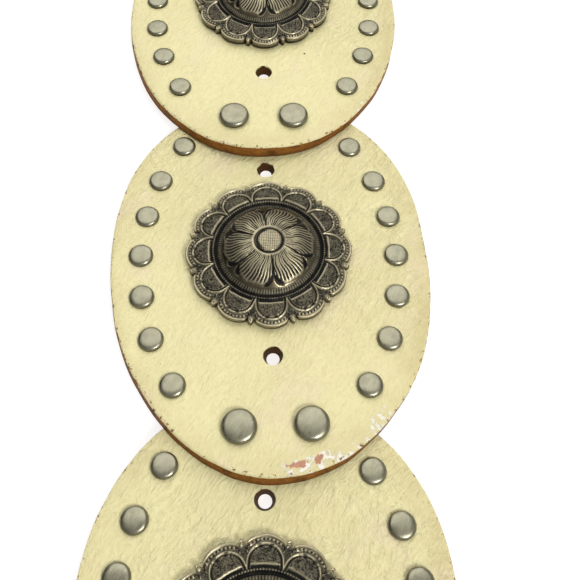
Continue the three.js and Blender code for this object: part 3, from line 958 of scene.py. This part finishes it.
def flower(radius, angle):
    """Height and darkness of the flower that is engraved on the dome, and its ground."""
    sector = 2 * math.pi / PETAL_COUNT
    swirled = angle + 0.10 * (radius / PETAL_TIP - 0.4) - PETAL_BEARING + sector / 2
    about = swirled % sector - sector / 2
    index = np.floor(swirled / sector) % PETAL_COUNT
    share = np.abs(about) / (sector / 2)
    tip = PETAL_SHOULDER + (PETAL_TIP - PETAL_SHOULDER) * np.sqrt(np.maximum(1 - share ** 3.5, 0))
    tip += 0.16 * np.sin(16 * about + 2.3 * index)
    inside = ease(0.12, -0.12, radius - tip)
    half = 0.08 + 0.62 * bump_shape(share - 0.84, 0.22)
    outline = band(radius - tip - 0.12, half, 0.3) * ease(0.4, 0.66, share)
    gap = (sector / 2 - np.abs(about)) * radius
    seam = band(gap, 0.03 + 0.045 * (radius - PETAL_BASE), 0.12)
    seam *= ease(PETAL_BASE, 4.9, radius) * ease(9.8, 9.0, radius)
    bend = about + 0.05 * np.sin(0.55 * radius + 2 * index) + 0.02 * np.sin(1.3 * radius + index)
    lines = bend / sector * PETAL_LINES
    stroke = np.abs(lines - np.round(lines)) * 2
    number = np.round(lines) + PETAL_LINES * index
    start, stop = scattered(number), scattered(number + 0.5)
    reach = radius / tip
    from_tip = ease(0.32 + 0.3 * start, 0.6 + 0.3 * start, reach)
    from_base = ease(0.86 - 0.36 * stop, 0.5 - 0.3 * stop, reach)
    length = np.maximum(from_tip, from_base)
    hatch = ease(0.7, 0.3, stroke / np.maximum(length, 0.05))
    hatch *= inside * ease(4.4, 5.0, radius) * ease(1.0, 0.93, reach)
    petals = ease(PETAL_BASE, 4.5, radius)
    height = 0.14 * inside - 0.10 * hatch - 0.24 * np.maximum(outline, seam)
    rubbed = 0.04 + 0.3 * scattered(np.round(2 * lines) + 0.2)
    dark = np.maximum.reduce([rubbed + 0.84 * hatch, outline, seam, 0.1 * (1 - inside)])
    dark = np.maximum(dark, 0.9 * ease(12.7, 13.2, radius))
    return height * petals, dark * petals, (1 - inside) * petals


def flower_eye(radius, angle):
    """Height and darkness of the disc in the middle of the flower and of its heavy ring."""
    heavy = 0.5 + 0.5 * np.cos(angle - math.radians(-10))
    ring = band(radius - 3.85, 0.16 + 0.2 * heavy, 0.22)
    inner_side = 0.5 + 0.5 * np.cos(angle - math.radians(165))
    crescent = band(radius - 3.1, 0.16, 0.2) * ease(0.5, 0.85, inner_side)
    eye = ease(4.6, 4.4, radius)
    height = 0.16 * ease(3.6, 3.3, radius) - 0.24 * ring - 0.14 * crescent
    return height * eye, np.maximum(ring, 0.95 * crescent) * eye


def collar_relief(radius, angle):
    """Height and darkness from the rope ring at the dome's foot to the dotted collar."""
    twists = 0.5 + 0.5 * np.cos(angle * ROPE_TICKS)
    dots = 0.5 + 0.5 * np.cos(angle * COLLAR_TICKS)
    rope = ease(ROPE_INNER - 0.25, ROPE_INNER, radius) * ease(ROPE_OUTER + 0.2, ROPE_OUTER, radius)
    trough = bump_shape(radius - 14.75, 0.5)
    dotted = bump_shape(radius - DOTTED_LINE, 0.2)
    height = 3.62 - 0.25 * ease(13.0, 14.2, radius) + 0.16 * rope * twists - 0.8 * trough
    height += (0.1 + 0.16 * dots) * dotted
    dark = np.maximum((0.98 - 0.4 * twists) * rope, ease(14.0, 14.3, radius) * 0.98)
    dark = dark - (0.04 + 0.6 * dots) * dotted
    return height, np.clip(dark, 0, 1)


def scallop_relief(radius, bearing, edge):
    """Height, darkness and etched texture of the scallops, from the collar to the rim."""
    along, off = radius * np.cos(bearing), radius * np.sin(bearing)
    beyond = np.maximum(along - LOBE_CENTRE, 0) / LOBE_REACH
    lobe = np.hypot(beyond, off / LOBE_WIDTH)
    ridge = band((lobe - 1) * LOBE_REACH, 0.06, 0.16)
    groove = band((lobe - 0.88) * LOBE_REACH, 0.16, 0.16)
    within = ease(0.84, 0.78, lobe) * ease(16.8, 17.0, radius)
    crescent = band(radius - 16.3, 0.26, 0.16) * ease(4.1, 3.0, np.abs(off))
    sill = bump_shape(radius - 16.85, 0.13) * ease(3.7, 2.6, np.abs(off))
    from_edge = edge - radius
    half = math.pi / SCALLOP_COUNT
    valley = bump_shape((np.abs(bearing) - half) * 180 / math.pi, 2.0)
    swept = np.arctan2(off, along - ARC_CENTRE)
    beads = 0.5 + 0.5 * np.cos(swept * BEAD_COUNT * 2.75)
    bead_row = band(from_edge - 1.15, 0.2, 0.2) * (1 - 0.5 * valley)
    between = ease(1.03, 1.08, lobe) * ease(1.5, 1.7, from_edge)
    on_rim = ease(0.84, 0.72, from_edge)
    rim = np.sqrt(np.maximum(1 - ((from_edge - 0.32) / 0.5) ** 2, 0))
    level = 2.2 + 0.19 * (21.6 - radius)
    height = level + 0.18 * ridge - 0.3 * groove + 0.14 * within * (1 - lobe) - 0.34 * crescent + 0.1 * sill
    height += 0.22 * bead_row * beads - 0.12 * between
    rounded = 1.6 + 0.6 * rim
    height = height * (1 - on_rim) + rounded * on_rim
    nub = valley * ease(20.6, 21.4, radius)
    height += 0.3 * nub * bump_shape(radius - 21.8, 0.8)
    dark = np.maximum.reduce([
        groove, 0.68 * within, crescent, 0.8 * between, 0.98 * band(from_edge - 1.15, 0.32, 0.12),
        0.95 * ease(16.05, 15.9, radius)])
    dark = dark - 0.8 * bead_row * ease(0.35, 0.75, beads) - 0.5 * ridge - 0.5 * sill
    dark = np.clip(dark, 0.1, 1) * (1 - on_rim) + 0.1 * on_rim
    dark = np.maximum(dark * (1 - 0.6 * nub), bump_shape(from_edge, 0.3) * 0.2)
    notch_dark = bump_shape(np.abs(np.abs(bearing) - half) * 180 / math.pi - 2.9, 0.9)
    dark = np.maximum(dark, notch_dark * ease(19.4, 20.4, radius) * 0.97)
    return height, np.clip(dark, 0, 1), np.maximum(within, 0.5 * between)


def cast_concho(settings):
    """The concho: its blank pressed into its scalloped outline and its relief."""
    blank = concho_blank(settings)
    mesh = blank.data
    points = coords(mesh)
    x, y, z = points.T / MM
    radius = np.hypot(x, y)
    angle = np.arctan2(y, x)
    period = 2 * math.pi / SCALLOP_COUNT
    from_crest = (angle - math.pi / 2 + period / 2) % period - period / 2
    crowd = 0.3 / SCALLOP_COUNT * np.sin(from_crest * SCALLOP_COUNT) * ease(15.0, 17.0, radius)
    angle = angle + crowd
    from_crest = from_crest + crowd
    edge = scallop_edge(from_crest)
    stretch = (edge - COLLAR) / (CONCHO_RADIUS / MM - COLLAR)
    radius = np.where(radius > COLLAR, COLLAR + (radius - COLLAR) * stretch, radius)
    on_face = z > FACE_LEVEL - 0.5
    petal_height, petal_dark, ground = flower(radius, angle)
    eye_height, eye_dark = flower_eye(radius, angle)
    collar_height, collar_dark = collar_relief(radius, angle)
    rim_height, rim_dark, etched = scallop_relief(radius, from_crest, edge)
    to_collar = ease(ROPE_INNER - 0.3, ROPE_INNER + 0.1, radius)
    to_rim = ease(COLLAR - 0.1, COLLAR + 0.25, radius)
    height = dome_height(radius) + settings.relief * (petal_height + eye_height) * (1 - to_collar)
    height = height * (1 - to_collar) + collar_height * to_collar
    height = height * (1 - to_rim) + rim_height * to_rim
    dark = np.maximum(petal_dark, eye_dark)
    dark = dark * (1 - to_collar) + collar_dark * to_collar
    dark = dark * (1 - to_rim) + rim_dark * to_rim
    points[:, 0] = radius * np.cos(angle) * MM
    points[:, 1] = radius * np.sin(angle) * MM
    points[:, 2] = np.where(on_face, height, z) * MM
    set_coords(mesh, points)
    # on the face this is patina in the recesses; on the side wall it is painted shade, darkest next to the
    # leather
    point_attribute(mesh, "patina_and_shade", np.where(on_face, dark, ease(1.6, 0.9, z)))
    point_attribute(mesh, "etched", np.where(on_face, etched * to_rim, 0))
    point_attribute(mesh, "ground", np.where(on_face, ground * (1 - to_collar), 0))
    point_attribute(mesh, "hatched", np.where(on_face, ease(3.5, 3.3, radius), 0))
    plan_map(mesh)
    mesh.materials.append(bpy.data.materials["Antique Silver"])
    smooth(blank, 80)
    return blank


def plan_map(mesh):
    """A UV map that holds each corner's place across the concho in its own frame, in metres."""
    layer = mesh.uv_layers.new(name="plan")
    corners = np.empty(len(mesh.loops), dtype=np.int32)
    mesh.loops.foreach_get("vertex_index", corners)
    layer.data.foreach_set("uv", coords(mesh)[corners, :2].ravel())


class BELT_OT_conchos(bpy.types.Operator):
    """Casts the concho once and sets a copy at the middle of each oval"""

    bl_idname = "belt.conchos"
    bl_label = "Conchos"

    def execute(self, context):
        settings = context.scene.belt_concho
        tarnish = bpy.data.node_groups.get("Tarnish") or tarnish_group()
        antique_silver(settings, tarnish)
        blank = cast_concho(settings)
        for number in PLACINGS:
            concho = copied(blank, f"flower_concho_{number}", concho_placing(number))
            settle(concho, "antique_silver", f"concho_{number}")
        discard(blank)
        return {"FINISHED"}


# Studs, rivets, posts, button


def cap_profile(radius, height, sunk):
    """Half section of a stud's cap: a low crown that rolls over into a steep rim."""
    shares = [(0.0, 1.0), (0.3, 0.985), (0.55, 0.95), (0.74, 0.88), (0.86, 0.78), (0.94, 0.62),
              (0.985, 0.42), (1.0, 0.22), (0.98, 0.04)]
    cap = [(share * radius, level * height) for share, level in shares]
    return cap + [(0.95 * radius, -sunk), (0.0, -sunk)]


def nickelled(piece, foot=None, crown=None):
    """Plates a turned piece; painted shade darkens the lower part of its cap, darkest at the foot height."""
    piece.data.materials.append(bpy.data.materials["Satin Nickel"])
    if crown:
        heights = coords(piece.data)[:, 2]
        # painted shade, 1 at the cap's foot and 0 above the lower half of the cap
        foot_shade = ease(foot + 0.55 * (crown - foot), foot + 0.2 * (crown - foot), heights)
        point_attribute(piece.data, "foot_shade", foot_shade)
    smooth(piece, 50)
    return piece


class BELT_OT_studs(bpy.types.Operator):
    """Presses the small stud once and sets a row of copies down either side of each oval"""

    bl_idname = "belt.studs"
    bl_label = "Small Studs"

    def execute(self, context):
        settings = context.scene.belt_studs
        tarnish = bpy.data.node_groups.get("Tarnish") or tarnish_group()
        satin_nickel(settings, tarnish)
        crown, sunk = 1.4 * MM, 0.5 * MM
        stud = nickelled(spun("stud", cap_profile(settings.stud_radius, crown, sunk), 24), 0.0, crown)
        for number, placing in PLACINGS.items():
            row = []
            for index, place in enumerate(stud_places(number)):
                lean = Matrix.Rotation(math.radians(1.6 * math.sin(7.1 * index + number)), 4, "X")
                lean = lean @ Matrix.Rotation(math.radians(1.6 * math.cos(5.3 * index)), 4, "Y")
                own = Matrix.Translation((place.x, place.y, -0.12 * MM)) @ lean
                row.append(copied(stud, f"stud_{number}_{index + 1}", placing @ own))
            deselect_all()
            for piece in row:
                piece.select_set(True)
            bpy.context.view_layer.objects.active = row[0]
            bpy.ops.object.join()
            row[0].name = f"studs_{number}"
            settle(row[0], "satin_nickel")
        discard(stud)
        return {"FINISHED"}


class BELT_OT_rivets(bpy.types.Operator):
    """Turns the joining rivet once and sets two copies through each overlap"""

    bl_idname = "belt.rivets"
    bl_label = "Joining Rivets"

    def execute(self, context):
        settings = context.scene.belt_studs
        radius = settings.rivet_radius
        low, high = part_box("rivet_1_left")
        top = high[2] - low[2]
        cap_height = 1.75 * MM
        cap = cap_profile(radius, cap_height, 0.0)[:-2]
        section = [(share, level + top - cap_height) for share, level in cap]
        section += [(0.9 * radius, top - cap_height), (1.5 * MM, top - cap_height), (1.5 * MM, 0.8 * MM),
                    (3.5 * MM, 0.8 * MM), (3.9 * MM, 0.55 * MM), (4.0 * MM, 0.25 * MM),
                    (3.8 * MM, 0.0), (0.0, 0.0)]
        rivet = nickelled(spun("rivet", section, 48), top - cap_height, top)
        for number in range(1, OVAL_COUNT):
            for side, place in fastener_places(number):
                spin = Matrix.Rotation(1.7 * number + (side == "left"), 4, "Z")
                piece = copied(rivet, f"joining_rivet_{number}_{side}", Matrix.Translation(place) @ spin)
                settle(piece, "satin_nickel", f"rivet_{number}_{side}")
        discard(rivet)
        return {"FINISHED"}


class BELT_OT_posts(bpy.types.Operator):
    """Turns the post behind a concho once and sets a copy under each oval"""

    bl_idname = "belt.posts"
    bl_label = "Concho Posts"

    def execute(self, context):
        section = [(0.0, 4.1), (2.0, 4.1), (2.2, 3.9), (2.2, 0.9), (5.6, 0.9), (5.95, 0.65), (6.0, 0.4),
                   (5.8, 0.08), (5.4, 0.0), (0.0, 0.0)]
        section = [(radius * MM, height * MM) for radius, height in section]
        post = nickelled(spun("post", section, 48))
        head_depth = 1.0 * MM
        for number, placing in PLACINGS.items():
            seat = concho_placing(number)
            own = seat @ Matrix.Translation((0, 0, -THICKNESS - head_depth - 0.35 * MM))
            piece = copied(post, f"post_{number}", own)
            settle(piece, "satin_nickel", f"concho_post_{number}")
        discard(post)
        return {"FINISHED"}


class BELT_OT_button(bpy.types.Operator):
    """Turns the closing button on the first oval's upper end"""

    bl_idname = "belt.button"
    bl_label = "Closing Button"

    def execute(self, context):
        low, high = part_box("closing_button")
        top = high[2] - low[2]
        head = 4.4 * MM
        neck_top = top - head
        ball = 3.1 * MM
        section = []
        for step in range(9):
            angle = math.pi / 2 * (1 - step / 8)
            section.append((ball * math.cos(angle), neck_top + head * (0.5 + 0.5 * math.sin(angle))))
        for step in range(1, 6):
            angle = -math.pi / 2 * step / 6
            section.append((ball * math.cos(angle), neck_top + head * (0.5 + 0.5 * math.sin(angle))))
        section += [(1.9 * MM, neck_top), (1.9 * MM, 0.8 * MM), (3.9 * MM, 0.8 * MM), (4.2 * MM, 0.5 * MM),
                    (4.1 * MM, 0.15 * MM), (3.8 * MM, 0.0), (0.0, 0.0)]
        button = nickelled(spun("closing_button_turned", section, 40))
        button.data.transform(Matrix.Translation(((low[0] + high[0]) / 2, (low[1] + high[1]) / 2, low[2])))
        settle(button, "satin_nickel", "closing_button")
        return {"FINISHED"}


# Stage

CAMERA_PLACE = (1.63, -83.45, 173.49)  # millimetres from the frame's origin
CAMERA_PITCH, CAMERA_YAW, CAMERA_ROLL = 24.25, -3.67, 2.92  # degrees
BRIGHT_SIDE = (0.42, -0.40, 0.81)  # unit vector toward the middle of the sky's bright side


class BELT_OT_stage(bpy.types.Operator):
    """Lays the floor and sets the lights and the camera"""

    bl_idname = "belt.stage"
    bl_label = "Stage"

    def execute(self, context):
        settings = context.scene.belt_stage
        self.floor(settings)
        self.lights(settings)
        self.camera(context, settings)
        context.scene.view_settings.view_transform = "Standard"
        return {"FINISHED"}

    def floor(self, settings):
        deselect_all()
        bpy.ops.mesh.primitive_plane_add(size=6, location=(0, 0, -0.02 * MM))
        floor = bpy.context.object
        floor.name = "floor"
        material, tree, shader, _where = new_material("Pale Floor")
        link(tree, shader, Base_Color=rgba(settings.floor_colour), Roughness=0.9)
        link(tree, shader, Emission_Color=(1.0, 1.0, 1.0, 1.0), Emission_Strength=settings.floor_glow)
        floor.data.materials.append(material)

    def lights(self, settings):
        world = bpy.data.worlds.new("Studio")
        world.use_nodes = True
        tree = world.node_tree
        background = tree.nodes["Background"]
        background.inputs["Color"].default_value = (1.0, 0.99, 0.97, 1.0)
        toward = tree.nodes.new("ShaderNodeTexCoord").outputs["Generated"]
        facing = put(tree, "ShaderNodeVectorMath", {0: toward, 1: BRIGHT_SIDE}, operation="DOT_PRODUCT")
        strength = mapped(tree, facing.outputs["Value"], -0.4, 0.9, settings.sky_low, settings.sky_high)
        tree.links.new(strength, background.inputs["Strength"])
        bpy.context.scene.world = world
        self.area_light("key", (0.42, -0.55, 0.80), settings.key_power, 0.28)
        self.area_light("top", (-0.02, 0.47, 0.56), settings.top_power, 1.0)

    def area_light(self, name, place, power, size):
        data = bpy.data.lights.new(name, "AREA")
        data.energy = power
        data.size = size
        lamp = bpy.data.objects.new(name, data)
        lamp.location = place
        lamp.rotation_euler = (-Vector(place)).to_track_quat("-Z", "Y").to_euler()
        bpy.context.collection.objects.link(lamp)

    def camera(self, context, settings):
        data = bpy.data.cameras.new("camera")
        data.sensor_width = 36
        data.lens = settings.lens
        data.clip_start = 0.005
        camera = bpy.data.objects.new("camera", data)
        turn = Matrix.Rotation(math.radians(CAMERA_YAW), 4, "Z")
        turn = turn @ Matrix.Rotation(math.radians(CAMERA_PITCH), 4, "X")
        turn = turn @ Matrix.Rotation(math.radians(CAMERA_ROLL), 4, "Z")
        camera.matrix_world = Matrix.Translation(Vector(CAMERA_PLACE) * MM) @ turn
        context.collection.objects.link(camera)
        context.scene.camera = camera


class BELT_PT_panel(bpy.types.Panel):
    """Lists the belt's pieces and its stage"""

    bl_idname = "BELT_PT_panel"
    bl_label = "Concho Belt"
    bl_space_type = "VIEW_3D"
    bl_region_type = "UI"
    bl_category = "Belt"

    def draw(self, context):
        for operator in OPERATORS:
            self.layout.operator(operator.bl_idname)


OPERATORS = (BELT_OT_leather_ovals, BELT_OT_conchos, BELT_OT_studs, BELT_OT_rivets, BELT_OT_posts,
             BELT_OT_button, BELT_OT_stage)
SETTINGS = {
    "belt_leather": BeltLeatherSettings,
    "belt_concho": BeltConchoSettings,
    "belt_studs": BeltStudSettings,
    "belt_stage": BeltStageSettings,
}


def register():
    for kind in (*SETTINGS.values(), *OPERATORS, BELT_PT_panel):
        bpy.utils.register_class(kind)
    for name, kind in SETTINGS.items():
        setattr(bpy.types.Scene, name, PointerProperty(type=kind))


def unregister():
    for name in SETTINGS:
        delattr(bpy.types.Scene, name)
    for kind in (BELT_PT_panel, *reversed(OPERATORS), *SETTINGS.values()):
        bpy.utils.unregister_class(kind)


def main():
    register()
    bpy.ops.belt.leather_ovals()
    bpy.ops.belt.conchos()
    bpy.ops.belt.studs()
    bpy.ops.belt.rivets()
    bpy.ops.belt.posts()
    bpy.ops.belt.button()
    bpy.ops.belt.stage()


if __name__ == "__main__":
    main()
